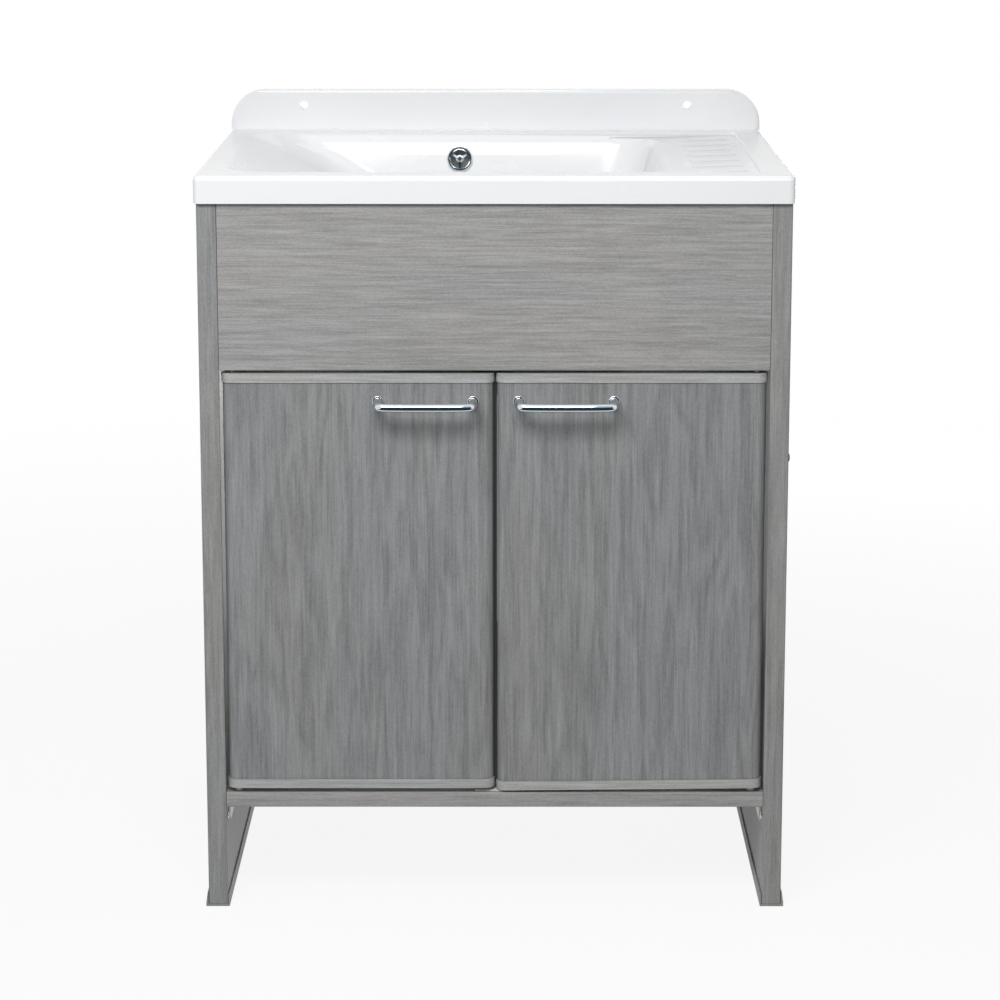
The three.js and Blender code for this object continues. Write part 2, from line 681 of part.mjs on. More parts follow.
add(waste, 'waste_strainer', wasteStrainer(), 'steel');
add(waste, 'waste_gasket', turned([[25.2, -5.3], [35.5, -5.3], [35.5, -7.8], [25.2, -7.8]]), 'blackRubber');
add(waste, 'waste_body', wasteBody(), 'whitePlastic');
add(waste, 'waste_screw', wasteScrew(), 'steel').position.z = -12 + FIT;

// A tapered rubber plug with a lug, and a wire ring through the lug.
function wastePlug() {
  const plug = turned([[0, -7], [20.4, -7], [21.6, 3.4], [23, 3.4], [23, 6], [20.5, 7.6], [0, 7.6]]);
  const lug = alongY(roundedRectangle(-6, 6, 6, 18, 5.5), -2.2, 2.2, 5);
  const eye = rodAlongY(0, 12.5, -4, 4, 2.4, 12);
  return joined(plug, lug).subtract(solid(eye));
}

const plug = group(waste);
add(plug, 'waste_plug', wastePlug(), 'blackRubber');
const plugRing = add(plug, 'plug_ring', new THREE.TorusGeometry(11, 1.1, 6, 20), 'steel');
plugRing.rotation.set(Math.PI / 2, Math.PI / 2, 0);
plugRing.position.set(0, 0, 22.5);

// ---------------------------------------------------------------- trap

const trap = group(sink, DRAIN.x, DRAIN.y, 0);

// A union nut with grip flats: one end is threaded over a tube, and the lip holds a pipe.
function unionNut(height, outer, thread, lip, lipHeight) {
  const body = turned([
    [thread, lipHeight], [thread, height], [outer, height], [outer, 0], [lip, 0], [lip, lipHeight],
  ], 18);
  const flutes = Array.from({ length: 9 }, (_, i) => (
    rod(outer + 1.6, 0, -1, height + 1, 3, 6).rotateZ((i * Math.PI) / 4.5)
  ));
  return solid(body).subtract(joined(...flutes));
}

function trapBody() {
  const bottle = turned([
    [16.5, 484], [20.5, 484], [20.5, 470], [31, 464], [31, 384.5], [28, 384.5], [28, 461], [16.5, 466],
  ]);
  const branch = rodAlongY(0, TRAP_OUTLET_Z, 25, 58, 19.4, 18);
  const socket = rodAlongY(0, TRAP_OUTLET_Z, 36, 59, PIPE_RADIUS + 0.5, 18);
  const port = rodAlongY(0, TRAP_OUTLET_Z, 20, 37, PIPE_BORE, 18);
  const core = rod(0, 0, 384, 458, 28, 20);
  return solid(bottle).add(solid(branch).subtract(solid(core))).subtract(joined(socket, port));
}

function trapCup() {
  const cup = turned([
    [31.4, 394], [35, 394], [35, 378], [31, 375], [31, 357], [26, 351], [0, 351], [0, 354], [25, 354],
    [28, 358], [28, 384], [31.4, 384],
  ]);
  const flutes = Array.from({ length: 12 }, (_, i) => (
    rod(37, 0, 374, 395, 3, 6).rotateZ((i * Math.PI) / 6)
  ));
  return solid(cup).subtract(joined(...flutes));
}

function inletPipe() {
  const top = SEAT_Z - 62 - FIT;
  return turned([
    [PIPE_BORE, top], [20.4, top], [20.4, top - 2.4], [PIPE_RADIUS, top - 2.4], [PIPE_RADIUS, 404],
    [PIPE_BORE, 404],
  ]);
}

function outletPipe() {
  const end = BACK - 0.5 - DRAIN.y;
  return turnedAlongY([[PIPE_BORE, 39], [PIPE_RADIUS, 39], [PIPE_RADIUS, end], [PIPE_BORE, end]]);
}

function wallRosette() {
  const wall = BACK - FIT - DRAIN.y;
  return turnedAlongY([
    [PIPE_RADIUS + 0.5, wall - 13], [PIPE_RADIUS + 3, wall - 13], [24, wall - 9], [33, wall - 1.5],
    [34, wall], [31.5, wall], [23, wall - 7], [PIPE_RADIUS + 0.5, wall - 10],
  ]);
}

add(trap, 'trap_inlet_nut', unionNut(24, 26, 21.4, 16.5, 6.6), 'whitePlastic').position.z = 496;
add(trap, 'trap_inlet_pipe', inletPipe(), 'whitePlastic');
const topNut = add(trap, 'trap_top_nut', unionNut(17, 25.5, 20.9, 16.5, 4), 'whitePlastic');
topNut.rotation.x = Math.PI;
topNut.position.z = 488.5;
add(trap, 'trap_body', trapBody(), 'whitePlastic');
add(trap, 'trap_cup', trapCup(), 'whitePlastic');
const outletNut = add(trap, 'trap_outlet_nut', unionNut(17, 24, 19.8, 16.5, 4), 'whitePlastic');
outletNut.rotation.x = Math.PI / 2;
outletNut.position.set(0, 62.5, TRAP_OUTLET_Z);
add(trap, 'outlet_pipe', outletPipe(), 'whitePlastic').position.z = TRAP_OUTLET_Z;
add(trap, 'wall_rosette', wallRosette(), 'whitePlastic').position.z = TRAP_OUTLET_Z;

// ---------------------------------------------------------------- cabinet boards

const cabinet = group(sink);
const SIDES = [['left', -1], ['right', 1]];
const AXES = { x: 0, y: 1, z: 2 };

// A hollow extruded board. Bounds are [x0, x1, y0, y1, z0, z1]. Its chambers run along one axis
// and are set out evenly across another, between two solid margins.
function hollowBoard(bounds, along, across, chambers, edge = BOARD_EDGE_RADIUS, margin = BOARD_SKIN) {
  const [x0, x1, y0, y1, z0, z1] = bounds;
  const outer = along === 'x'
    ? alongX(roundedRectangle(y0, y1, z0, z1, edge), x0, x1, 3)
    : alongZ(roundedRectangle(x0, x1, y0, y1, edge), z0, z1, 3);
  const [run, row] = [2 * AXES[along], 2 * AXES[across]];
  const first = bounds[row] + margin;
  const pitch = (bounds[row + 1] - bounds[row] - 2 * margin + BOARD_SKIN) / chambers;
  const cells = Array.from({ length: chambers }, (_, i) => {
    const cell = bounds.map((value, face) => value + (face % 2 ? -BOARD_SKIN : BOARD_SKIN));
    cell[run] = bounds[run] - 1;
    cell[run + 1] = bounds[run + 1] + 1;
    cell[row] = first + i * pitch;
    cell[row + 1] = first + (i + 1) * pitch - BOARD_SKIN;
    return box(...cell);
  });
  return solid(outer).subtract(joined(...cells));
}

// A fixing whose head seats at a point, and whose shaft runs in a direction.
function fixingAt([x, y, z], [dx, dy, dz], size) {
  const turn = new THREE.Quaternion().setFromUnitVectors(Z, new THREE.Vector3(-dx, -dy, -dz));
  return screw(size.head, size.headHeight, size.shaft, size.length, 10)
    .applyQuaternion(turn)
    .translate(x, y, z);
}

// Bolts hold the shelf's front corners, and a dark cap covers a fixing on the right outer face.
const BOLT = { head: 3.6, headHeight: 1.6, shaft: 2, length: 12, y: -237, z: 96 };
const SIDE_CAP = { head: 4.4, headHeight: 1.6, shaft: 2, length: 8, y: -233, z: 474 };

for (const [side, sign] of SIDES) {
  const [x0, x1] = [sign * INNER_X, sign * CABINET_HALF_WIDTH].sort((a, b) => a - b);
  const board = hollowBoard([x0, x1, CABINET_FRONT, CABINET_BACK, FOOT_WEB + FIT, CABINET_TOP], 'z', 'y', 12);
  const boltEnds = [sign * (INNER_X - 1), sign * (INNER_X + BOLT.length + 1)];
  const boltHole = rodAlongX(BOLT.y, BOLT.z, ...boltEnds, BOLT.shaft + FIT);
  const capEnds = [sign * (CABINET_HALF_WIDTH - SIDE_CAP.length - 1), sign * (CABINET_HALF_WIDTH + 1)];
  const capHole = rodAlongX(SIDE_CAP.y, SIDE_CAP.z, ...capEnds, SIDE_CAP.shaft + FIT);
  const holes = side === 'right' ? joined(boltHole, capHole) : solid(boltHole);
  add(cabinet, `side_panel_${side}`, board.subtract(holes), 'greyBoard');
  add(cabinet, `shelf_bolt_${side}`, fixingAt([sign * INSIDE, BOLT.y, BOLT.z], [sign, 0, 0], BOLT), 'steel');
}
const capSeat = [CABINET_HALF_WIDTH + FIT, SIDE_CAP.y, SIDE_CAP.z];
add(cabinet, 'side_cap_right', fixingAt(capSeat, [-1, 0, 0], SIDE_CAP), 'blackRubber');

// The foot strip is a U along the board's lower edge, with a flared outer leg.
function footStrip(sign) {
  const outer = CABINET_HALF_WIDTH + FIT;
  const leg = 1.3;
  const points = [
    [INSIDE - leg, 0], [outer + FOOT_FLARE, 0], [outer + FOOT_FLARE, 4], [outer + 0.8, FOOT_HEIGHT],
    [outer, FOOT_HEIGHT], [outer, FOOT_WEB], [INSIDE, FOOT_WEB], [INSIDE, FOOT_HEIGHT - 2],
    [INSIDE - leg, FOOT_HEIGHT - 2],
  ];
  return alongY(outline(points.map(([x, z]) => [sign * x, z])), CABINET_FRONT, CABINET_BACK);
}

add(cabinet, 'foot_strip_left', footStrip(-1), 'greyPlastic');
add(cabinet, 'foot_strip_right', footStrip(1), 'greyPlastic');

const pivotX = DOOR_OUTER_EDGE - DOOR_EDGE_RADIUS;
const bushHoles = (z0, z1) => joined(...SIDES.map(([, sign]) => (
  rod(sign * pivotX, DOOR_Y, z0, z1, BUSH_RADIUS + FIT)
)));

const fasciaBounds = [-INSIDE, INSIDE, CABINET_FRONT, DOOR_BACK, FASCIA_BOTTOM, CABINET_TOP];
add(cabinet, 'fascia', hollowBoard(fasciaBounds, 'x', 'z', 5)
  .subtract(bushHoles(FASCIA_BOTTOM - 1, FASCIA_BOTTOM + BOARD_SKIN + 1)), 'greyBoard');

const shelfBounds = [-INSIDE, INSIDE, CABINET_FRONT, CABINET_BACK - 3, SHELF_BOTTOM, SHELF_TOP];
add(cabinet, 'bottom_shelf', hollowBoard(shelfBounds, 'x', 'y', 12)
  .subtract(bushHoles(SHELF_TOP - BOARD_SKIN - 1, SHELF_TOP + 1)), 'greyBoard');

const topRail = [-INSIDE, INSIDE, REAR_FACE, CABINET_BACK, CABINET_TOP - TOP_RAIL_HEIGHT, CABINET_TOP];
const railFoot = SHELF_TOP + FIT;
const lowRail = [-INSIDE, INSIDE, REAR_FACE, CABINET_BACK, railFoot, railFoot + BOTTOM_RAIL_HEIGHT];
add(cabinet, 'rear_top_rail', hollowBoard(topRail, 'x', 'z', 2), 'greyBoard');
add(cabinet, 'rear_bottom_rail', hollowBoard(lowRail, 'x', 'z', 2), 'greyBoard');

// ---------------------------------------------------------------- angle strips and bushes

// An angle strip's section, with its corner at the origin and its legs along U and V.
function angleSection(u, v) {
  const [length, thick] = [ANGLE_SIZE, ANGLE_THICKNESS];
  const points = [[0, 0], [length, 0], [length, thick], [thick, thick], [thick, length], [0, length]];
  return outline(points.map(([a, b]) => [a * u, b * v]));
}

for (const [side, sign] of SIDES) {
  const corner = sign * INSIDE;
  const shelfStrip = alongY(angleSection(-sign, -1), -225, 225).translate(corner, 0, SHELF_BOTTOM - FIT);
  const fasciaStrip = alongZ(angleSection(-sign, 1), 580, 740).translate(corner, DOOR_BACK + FIT, 0);
  const rearStrip = alongZ(angleSection(-sign, -1), 132, 746).translate(corner, REAR_FACE - FIT, 0);
  add(cabinet, `shelf_angle_${side}`, shelfStrip, 'whitePlastic');
  add(cabinet, `fascia_angle_${side}`, fasciaStrip, 'whitePlastic');
  add(cabinet, `rear_angle_${side}`, rearStrip, 'whitePlastic');
}

// Blind sleeves take the ends of a door's pivot rod. The lower one's collar carries the door.
function sleeve(collar) {
  const bore = PIVOT_RADIUS + FIT;
  return turned([
    [0, -BUSH_DEPTH], [BUSH_RADIUS, -BUSH_DEPTH], [BUSH_RADIUS, collar], [bore, collar],
    [bore, BUSH_FLOOR - BUSH_DEPTH], [0, BUSH_FLOOR - BUSH_DEPTH],
  ], 12);
}

for (const [side, sign] of SIDES) {
  const upperBush = sleeve(0).rotateX(Math.PI).translate(sign * pivotX, DOOR_Y, FASCIA_BOTTOM);
  const lowerBush = sleeve(DOOR_BOTTOM - 2 * FIT - SHELF_TOP).translate(sign * pivotX, DOOR_Y, SHELF_TOP);
  add(cabinet, `upper_bush_${side}`, upperBush, 'whitePlastic');
  add(cabinet, `lower_bush_${side}`, lowerBush, 'whitePlastic');
}

// ---------------------------------------------------------------- catch and stop

// Both sit on the line where the doors meet.
const meetingX = (DOOR_INNER_EDGES.left + DOOR_INNER_EDGES.right) / 2;

// The catch hangs behind the fascia, and its two faces meet the strikes on the doors.
function doorCatch() {
  const plate = box(meetingX - 22, meetingX + 22, DOOR_BACK + FIT, DOOR_BACK + 6, 567, 592);
  const nose = box(meetingX - 19, meetingX + 19, DOOR_BACK + 2.1, DOOR_BACK + 15, 536, 572);
  return joined(plate, nose);
}

// The stop's lip stands behind the doors' lower caps.
function doorStop() {
  const base = SHELF_TOP + FIT;
  const plate = box(meetingX - 21, meetingX + 21, -241, -200, base, base + 1.2);
  const lip = box(meetingX - 21, meetingX + 21, DOOR_BACK + 1.6, DOOR_BACK + 3.1, base, base + 15);
  return joined(plate, lip);
}

add(cabinet, 'door_catch', doorCatch(), 'whitePlastic');
add(cabinet, 'door_stop', doorStop(), 'whitePlastic');

// ---------------------------------------------------------------- doors

// The U-shaped cap on a door's end, open upwards, with its web's underside at z = 0.
function doorCap(left, right) {
  const reach = DOOR_THICKNESS / 2 + FIT + CAP_WALL;
  const grow = FIT + CAP_WALL;
  const plan = (more) => roundedRectangle(
    left - more, right + more, DOOR_Y - DOOR_THICKNESS / 2 - more, DOOR_Y + DOOR_THICKNESS / 2 + more,
    Math.min(DOOR_EDGE_RADIUS + more, reach - 0.05),
  );
  const channel = solid(alongZ(plan(FIT), CAP_WALL, CAP_HEIGHT + 1, 3));
  return geometryOf(solid(alongZ(plan(grow), 0, CAP_HEIGHT, 3)).subtract(channel));
}

// A bow handle: a bar that swells towards its middle, on two collars.
function handle(centre) {
  const half = HANDLE.spacing / 2;
  const face = CABINET_FRONT - FIT;
  const at = (x, out) => {
    const fall = HANDLE.drop * (out / HANDLE.reach) ** 2;
    return new THREE.Vector3(centre + x, face - out, HANDLE.z - fall);
  };
  const side = [[half, 0], [half, 12], [half - 2, 20], [half - 9, 26.5], [half - 22, 29.5]];
  const points = [
    ...side.map(([x, out]) => at(-x, out)),
    at(0, HANDLE.reach),
    ...[...side].reverse().map(([x, out]) => at(x, out)),
  ];
  const curve = new THREE.CatmullRomCurve3(points);
  const stations = Array.from({ length: 17 }, (_, i) => {
    const share = i / 16;
    return [share, HANDLE.radius + HANDLE.swell * Math.sin(Math.PI * share) ** 2];
  });
  const collars = [-half, half].map((dx) => turnedAlongY([
    [0, 0], [HANDLE.collar, 0], [HANDLE.collar, -2.5], [HANDLE.radius + 0.8, -5], [0, -5],
  ], 12).translate(centre + dx, face, HANDLE.z));
  const bores = [-half, half].map((dx) => rodAlongY(centre + dx, HANDLE.z, face - 8, face + 1, 2.3, 8));
  return joined(swept(curve, stations, 8), ...collars).subtract(joined(...bores));
}

const HANDLE_SCREW = { head: 4, headHeight: 2, shaft: 2, length: 26 };

for (const [side, sign] of SIDES) {
  const door = group(sink);
  const edges = [DOOR_INNER_EDGES[side], sign * DOOR_OUTER_EDGE].sort((a, b) => a - b);
  const ends = { inner: -1, outer: 1 };
  const screwX = (end) => HANDLE_CENTRES[side] + (sign * ends[end] * HANDLE.spacing) / 2;
  const screwHoles = joined(...Object.keys(ends).map((end) => (
    rodAlongY(screwX(end), HANDLE.z, CABINET_FRONT - 1, DOOR_BACK + 1, HANDLE_SCREW.shaft + FIT)
  )));
  const pivotHole = solid(rod(sign * pivotX, DOOR_Y, DOOR_BOTTOM - 4, DOOR_TOP + 1, PIVOT_RADIUS + FIT));

  const [foot, head] = [DOOR_BOTTOM + CAP_WALL + FIT, DOOR_TOP - CAP_WALL - FIT];
  const bounds = [...edges, CABINET_FRONT, DOOR_BACK, foot, head];
  const panel = hollowBoard(bounds, 'z', 'x', 8, DOOR_EDGE_RADIUS, DOOR_EDGE_RADIUS);
  add(door, `door_panel_${side}`, panel.subtract(screwHoles).subtract(pivotHole), 'greyDoor');

  const topCap = doorCap(...edges).rotateX(Math.PI).translate(0, 2 * DOOR_Y, DOOR_TOP);
  add(door, `door_top_cap_${side}`, solid(topCap).subtract(pivotHole), 'greyDoor');
  const lowCap = doorCap(...edges);
  if (side === 'right') {
    lowCap
      .translate(-DOOR_OUTER_EDGE, 0, 0)
      .rotateY(-LOOSE_CAP_TILT * DEGREE)
      .translate(DOOR_OUTER_EDGE, 0, 0);
  }
  const lowered = lowCap.translate(0, 0, DOOR_BOTTOM);
  add(door, `door_bottom_cap_${side}`, solid(lowered).subtract(pivotHole), 'greyDoor');

  const rodFoot = SHELF_TOP - BUSH_DEPTH + BUSH_FLOOR + FIT;
  const rodHead = FASCIA_BOTTOM + BUSH_DEPTH - BUSH_FLOOR - FIT;
  add(door, `pivot_rod_${side}`, rod(sign * pivotX, DOOR_Y, rodFoot, rodHead, PIVOT_RADIUS), 'steel');
  add(door, `handle_${side}`, handle(HANDLE_CENTRES[side]), 'chrome');
  for (const end of Object.keys(ends)) {
    const seat = [screwX(end), DOOR_BACK + FIT, HANDLE.z];
    add(door, `handle_screw_${side}_${end}`, fixingAt(seat, [0, -1, 0], HANDLE_SCREW), 'steel');
  }
  const strikeX = meetingX + sign * 11;
  const strike = box(strikeX - 6, strikeX + 6, DOOR_BACK + FIT, DOOR_BACK + 1.5, 539, 551);
  add(door, `strike_plate_${side}`, strike, 'steel');
}

// The origin is on the floor, under the middle of the overall box.
const overall = new THREE.Box3().setFromObject(sink, true);
sink.position.y = -(overall.min.y + overall.max.y) / 2;

export default sink;
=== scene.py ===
"""Looks of a utility laundry sink: a moulded basin on a two-door cabinet of wood-look boards."""

import json
from math import radians

import bpy
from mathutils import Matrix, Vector

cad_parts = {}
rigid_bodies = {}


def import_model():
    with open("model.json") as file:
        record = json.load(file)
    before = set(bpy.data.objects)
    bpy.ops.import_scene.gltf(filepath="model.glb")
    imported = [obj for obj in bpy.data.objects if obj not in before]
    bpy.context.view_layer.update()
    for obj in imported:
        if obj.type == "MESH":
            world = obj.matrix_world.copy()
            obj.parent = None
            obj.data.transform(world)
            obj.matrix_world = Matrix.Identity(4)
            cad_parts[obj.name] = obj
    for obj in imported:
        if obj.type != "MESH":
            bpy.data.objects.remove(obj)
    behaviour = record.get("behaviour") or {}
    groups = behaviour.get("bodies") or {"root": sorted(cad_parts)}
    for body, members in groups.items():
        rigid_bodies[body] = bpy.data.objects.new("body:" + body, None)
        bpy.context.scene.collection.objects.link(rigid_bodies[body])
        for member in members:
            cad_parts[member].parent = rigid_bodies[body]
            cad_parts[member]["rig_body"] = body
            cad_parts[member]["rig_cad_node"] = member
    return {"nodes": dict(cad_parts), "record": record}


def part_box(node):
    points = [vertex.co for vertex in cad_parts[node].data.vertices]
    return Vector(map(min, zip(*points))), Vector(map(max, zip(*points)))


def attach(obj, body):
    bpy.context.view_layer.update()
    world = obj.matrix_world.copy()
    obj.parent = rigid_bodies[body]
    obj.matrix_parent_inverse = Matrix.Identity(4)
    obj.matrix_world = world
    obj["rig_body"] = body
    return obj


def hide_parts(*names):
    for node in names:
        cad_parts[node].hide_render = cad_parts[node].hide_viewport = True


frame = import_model()
NODES = frame["nodes"]
bpy.ops.object.select_all(action="DESELECT")
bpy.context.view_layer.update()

MM = 0.001

# ---------------------------------------------------------------- camera and studio

CAMERA_PLACE = (0.0083, -3.4846, 1.1200)
CAMERA_TILT = 11.93  # degrees below level
CAMERA_TURN = 0.05
CAMERA_LENS = 118.1  # mm, on a 36 mm sensor


def add_camera():
    bpy.ops.object.camera_add(location=CAMERA_PLACE, rotation=(radians(90 - CAMERA_TILT), 0, radians(CAMERA_TURN)))
    camera = bpy.context.object
    camera.data.lens = CAMERA_LENS
    camera.data.sensor_width = 36
    bpy.context.scene.camera = camera


def add_softbox(name, place, target, size, power, tint=(1, 1, 1)):
    """A rectangular lamp at a place, facing a target."""
    bpy.ops.object.light_add(type="AREA", location=place)
    lamp = bpy.context.object
    lamp.name = name
    lamp.data.shape = "RECTANGLE"
    lamp.data.size, lamp.data.size_y = size
    lamp.data.energy = power
    lamp.data.color = tint
    lamp.rotation_euler = (Vector(target) - Vector(place)).to_track_quat("-Z", "Y").to_euler()
    return lamp


# ---------------------------------------------------------------- node helpers


def add_node(tree, kind, settings=None, values=None):
    """A node with its properties set, and its unlinked inputs set by name or number."""
    made = tree.nodes.new(kind)
    for name, value in (settings or {}).items():
        setattr(made, name, value)
    for name, value in (values or {}).items():
        made.inputs[name].default_value = value
    return made


def link(tree, source, target):
    tree.links.new(source, target)


def math_node(tree, operation, first, second):
    """The result of a sum on two values, each a number or a socket."""
    made = add_node(tree, "ShaderNodeMath", {"operation": operation})
    for socket, value in zip(made.inputs, (first, second)):
        if isinstance(value, (int, float)):
            socket.default_value = value
        else:
            link(tree, value, socket)
    return made.outputs[0]


def mix_colors(tree, share, first, second, blend="MIX"):
    """One colour mixed or blended with another. Each is a colour or a socket."""
    made = add_node(tree, "ShaderNodeMix", {"data_type": "RGBA", "blend_type": blend})
    for socket, value in zip((made.inputs[0], made.inputs[6], made.inputs[7]), (share, first, second)):
        if isinstance(value, bpy.types.NodeSocket):
            link(tree, value, socket)
        else:
            socket.default_value = value
    return made.outputs[2]


def ramp(tree, value, low, high, to_low=0.0, to_high=1.0):
    """A value moved from one range to another and held inside it."""
    made = add_node(tree, "ShaderNodeMapRange", {"interpolation_type": "SMOOTHSTEP"})
    for name, number in zip(("From Min", "From Max", "To Min", "To Max"), (low, high, to_low, to_high)):
        made.inputs[name].default_value = number
    link(tree, value, made.inputs["Value"])
    return made.outputs["Result"]


def stretched_noise(tree, vector, stretch, scale, detail=3.0, roughness=0.55, distortion=0.0):
    """Noise drawn out along Z, in features of 1 / scale metres across."""
    mapping = add_node(tree, "ShaderNodeMapping", values={"Scale": (1, 1, stretch)})
    link(tree, vector, mapping.inputs["Vector"])
    noise = add_node(tree, "ShaderNodeTexNoise", values={
        "Scale": scale, "Detail": detail, "Roughness": roughness, "Distortion": distortion,
    })
    link(tree, mapping.outputs["Vector"], noise.inputs["Vector"])
    return noise.outputs["Fac"]


def new_group(name, inputs, outputs):
    """An empty shader group with its sockets. Inputs are name: (kind, default)."""
    tree = bpy.data.node_groups.new(name, "ShaderNodeTree")
    for socket_name, (kind, default) in inputs.items():
        socket = tree.interface.new_socket(socket_name, in_out="INPUT", socket_type=kind)
        if default is not None:
            socket.default_value = default
    for socket_name, kind in outputs.items():
        tree.interface.new_socket(socket_name, in_out="OUTPUT", socket_type=kind)
    entry = tree.nodes.new("NodeGroupInput")
    leave = tree.nodes.new("NodeGroupOutput")
    return tree, entry.outputs, leave.inputs


def rgba(color):
    return (*color, 1.0)


# ---------------------------------------------------------------- shared effects


def make_wood_film():
    """Printed wood grain that runs along Z: long streaks, pale flames, fine pores and hue drift."""
    tree, given, made = new_group(
        "wood_film",
        {
            "Vector": ("NodeSocketVector", None),
            "Ground": ("NodeSocketColor", rgba((0.27, 0.27, 0.265))),
            "Figure": ("NodeSocketFloat", 1.0),
        },
        {"Color": "NodeSocketColor", "Height": "NodeSocketFloat"},
    )
    vector = given["Vector"]
    fine = stretched_noise(tree, vector, 0.03, 900, detail=2.0, roughness=0.6)
    streak = stretched_noise(tree, vector, 0.03, 260, detail=3.0)
    flame = stretched_noise(tree, vector, 0.13, 52, detail=2.0, roughness=0.45, distortion=0.5)
    drift = stretched_noise(tree, vector, 0.2, 16, detail=2.0)
    pore = stretched_noise(tree, vector, 0.4, 1100, detail=1.0)

    rings = math_node(tree, "PINGPONG", math_node(tree, "MULTIPLY", flame, 7.0), 1.0)
    edge = ramp(tree, rings, 0.0, 0.9, -0.5, 0.5)
    tone = math_node(tree, "MULTIPLY", ramp(tree, fine, 0.3, 0.7, -0.5, 0.5), 0.24)
    tone = math_node(tree, "ADD", tone, math_node(tree, "MULTIPLY", ramp(tree, streak, 0.3, 0.7, -0.5, 0.5), 0.18))
    figure = math_node(tree, "MULTIPLY", math_node(tree, "MULTIPLY", edge, 0.13), given["Figure"])
    tone = math_node(tree, "ADD", tone, figure)
    tone = math_node(tree, "ADD", tone, math_node(tree, "MULTIPLY", ramp(tree, pore, 0.35, 0.65, -0.5, 0.5), 0.14))
    level = math_node(tree, "ADD", tone, 1.0)

    cool = mix_colors(tree, 1.0, given["Ground"], rgba((0.985, 1.0, 1.02)), "MULTIPLY")
    warm = mix_colors(tree, 1.0, given["Ground"], rgba((1.01, 1.0, 0.99)), "MULTIPLY")
    hue = mix_colors(tree, ramp(tree, drift, 0.35, 0.65), cool, warm)
    grey = add_node(tree, "ShaderNodeCombineColor")
    for socket in grey.inputs:
        link(tree, level, socket)
    link(tree, mix_colors(tree, 1.0, hue, grey.outputs[0], "MULTIPLY"), made["Color"])
    link(tree, math_node(tree, "ADD", fine, math_node(tree, "MULTIPLY", pore, 0.6)), made["Height"])
    return tree


def make_moulded_skin():
    """The faint cloudiness and flow of a moulded surface, as a factor, a gloss change and a height."""
    tree, given, made = new_group(
        "moulded_skin",
        {
            "Vector": ("NodeSocketVector", None),
            "Color": ("NodeSocketColor", rgba((0.8, 0.8, 0.8))),
            "Roughness": ("NodeSocketFloat", 0.3),
        },
        {"Color": "NodeSocketColor", "Roughness": "NodeSocketFloat", "Height": "NodeSocketFloat"},
    )
    cloud = stretched_noise(tree, given["Vector"], 1.0, 7, detail=3.0)
    grain = stretched_noise(tree, given["Vector"], 1.0, 420, detail=2.0)
    darker = mix_colors(tree, 1.0, given["Color"], rgba((0.985, 0.987, 0.99)), "MULTIPLY")
    link(tree, mix_colors(tree, ramp(tree, cloud, 0.35, 0.65), darker, given["Color"]), made["Color"])
    rough = math_node(tree, "MULTIPLY", given["Roughness"], ramp(tree, cloud, 0.3, 0.7, 0.94, 1.06))
    link(tree, rough, made["Roughness"])
    link(tree, math_node(tree, "ADD", grain, cloud), made["Height"])
    return tree


WOOD_FILM = make_wood_film()
MOULDED_SKIN = make_moulded_skin()


# ---------------------------------------------------------------- finishes


def new_finish(name):
    """A material with only its output and a Principled BSDF."""
    finish = bpy.data.materials.new(name)
    finish.use_nodes = True
    tree = finish.node_tree
    return finish, tree, tree.nodes["Principled BSDF"]


def object_vector(tree, turn=(0, 0, 0), shift=(0, 0, 0)):
    place = add_node(tree, "ShaderNodeTexCoord").outputs["Object"]
    if not any(turn) and not any(shift):
        return place
    mapping = add_node(tree, "ShaderNodeMapping", values={"Rotation": turn, "Location": shift})
    link(tree, place, mapping.inputs["Vector"])
    return mapping.outputs["Vector"]


def bump(tree, height, strength, distance, shader):
    made = add_node(tree, "ShaderNodeBump", values={"Strength": strength, "Distance": distance})
    link(tree, height, made.inputs["Height"])
    link(tree, made.outputs["Normal"], shader.inputs["Normal"])


def wood_finish(name, ground, grain_along, figure=1.0, shift=(0, 0, 0)):
    """Wood-look film, with its grain along X or Z."""
    finish, tree, shader = new_finish(name)
    turn = (0, radians(90), 0) if grain_along == "X" else (0, 0, 0)
    film = add_node(tree, "ShaderNodeGroup", {"node_tree": WOOD_FILM}, {"Ground": rgba(ground), "Figure": figure})
    link(tree, object_vector(tree, turn, shift), film.inputs["Vector"])
    link(tree, film.outputs["Color"], shader.inputs["Base Color"])
    shader.inputs["Roughness"].default_value = 0.52
    shader.inputs["Specular IOR Level"].default_value = 0.4
    bump(tree, film.outputs["Height"], 0.25, 0.0002, shader)
    return finish


def plastic_finish(name, color, roughness, grain=0.1, coat=0.0):
    finish, tree, shader = new_finish(name)
    skin = add_node(tree, "ShaderNodeGroup", {"node_tree": MOULDED_SKIN}, {"Color": rgba(color), "Roughness": roughness})
    link(tree, object_vector(tree), skin.inputs["Vector"])
    link(tree, skin.outputs["Color"], shader.inputs["Base Color"])
    link(tree, skin.outputs["Roughness"], shader.inputs["Roughness"])
    shader.inputs["Coat Weight"].default_value = coat
    shader.inputs["Coat Roughness"].default_value = 0.08
    bump(tree, skin.outputs["Height"], grain, 0.0002, shader)
    return finish


def metal_finish(name, color, roughness, brushed=0.0):
    """Metal whose gloss drifts a little. Brushing draws fine lines round or along the piece."""
    finish, tree, shader = new_finish(name)
    skin = add_node(tree, "ShaderNodeGroup", {"node_tree": MOULDED_SKIN}, {"Color": rgba(color), "Roughness": roughness})
    link(tree, object_vector(tree), skin.inputs["Vector"])
    link(tree, skin.outputs["Color"], shader.inputs["Base Color"])
    link(tree, skin.outputs["Roughness"], shader.inputs["Roughness"])
    shader.inputs["Metallic"].default_value = 1.0
    if brushed:
        lines = stretched_noise(tree, object_vector(tree), 0.05, 1800, detail=1.0)
        bump(tree, lines, brushed, 0.0001, shader)
    return finish


